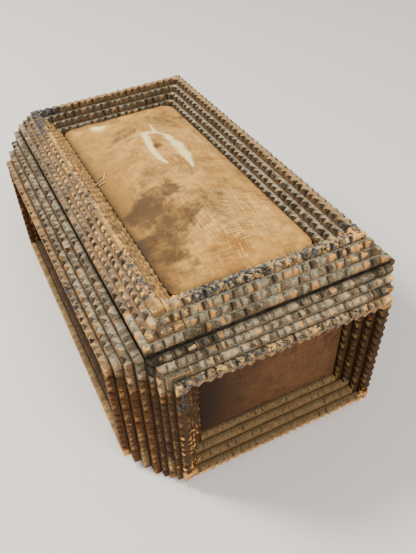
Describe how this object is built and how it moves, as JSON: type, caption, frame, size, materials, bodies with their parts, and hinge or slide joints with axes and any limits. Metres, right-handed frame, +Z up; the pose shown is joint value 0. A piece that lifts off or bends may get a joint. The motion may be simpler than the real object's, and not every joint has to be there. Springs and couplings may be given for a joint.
{
  "type": "tramp art box",
  "caption": "Wooden box with a lift-off lid; stepped notch-carved frames surround velvet panels on its sides and a padded lid.",
  "frame": {"origin": "centre of the box's underside, on the surface it stands on", "axes": "+Z up; +Y along the box's length, away from the short front face that the picture shows; +X to the right of that face"},
  "size_m": [0.1744, 0.282, 0.1197],
  "materials": {
    "carved_wood": "old dry varnish and dust over notched cigar-box wood, with paint remains and worn orange spots",
    "plain_wood": "plain thin boards, dull brown with age",
    "lid_velvet": "golden-brown velvet, worn to its threads, with dark and pale stains",
    "side_velvet": "brown velvet, rubbed dull"
  },
  "bodies": {
    "root": {"bottom_board": "plain_wood", "wall_front": "plain_wood", "wall_back": "plain_wood", "wall_left": "plain_wood", "wall_right": "plain_wood", "lid_board": "plain_wood", "front_layer1_bottom_rail": "carved_wood", "front_layer1_right_stile": "carved_wood", "front_layer1_top_rail": "carved_wood", "front_layer1_left_stile": "carved_wood", "front_layer2_bottom_rail": "carved_wood", "front_layer2_right_stile": "carved_wood", "front_layer2_top_rail": "carved_wood", "front_layer2_left_stile": "carved_wood", "front_layer3_bottom_rail": "carved_wood", "front_layer3_right_stile": "carved_wood", "front_layer3_top_rail": "carved_wood", "front_layer3_left_stile": "carved_wood", "front_layer4_bottom_rail": "carved_wood", "front_layer4_right_stile": "carved_wood", "front_layer4_top_rail": "carved_wood", "front_layer4_left_stile": "carved_wood", "back_layer1_frame": "carved_wood", "back_layer2_frame": "carved_wood", "back_layer3_frame": "carved_wood", "back_layer4_frame": "carved_wood", "left_layer1_frame": "carved_wood", "left_layer2_frame": "carved_wood", "left_layer3_frame": "carved_wood", "left_layer4_frame": "carved_wood", "right_layer1_frame": "carved_wood", "right_layer2_frame": "carved_wood", "right_layer3_frame": "carved_wood", "right_layer4_frame": "carved_wood", "lid_layer1_front_strip": "carved_wood", "lid_layer1_right_strip": "carved_wood", "lid_layer1_back_strip": "carved_wood", "lid_layer1_left_strip": "carved_wood", "lid_layer2_front_strip": "carved_wood", "lid_layer2_right_strip": "carved_wood", "lid_layer2_back_strip": "carved_wood", "lid_layer2_left_strip": "carved_wood", "lid_layer3_front_strip": "carved_wood", "lid_layer3_right_strip": "carved_wood", "lid_layer3_back_strip": "carved_wood", "lid_layer3_left_strip": "carved_wood", "lid_layer4_front_strip": "carved_wood", "lid_layer4_right_strip": "carved_wood", "lid_layer4_back_strip": "carved_wood", "lid_layer4_left_strip": "carved_wood", "front_velvet_panel": "side_velvet", "back_velvet_panel": "side_velvet", "left_velvet_panel": "side_velvet", "right_velvet_panel": "side_velvet", "lid_pincushion": "lid_velvet"}
  },
  "joints": []
}
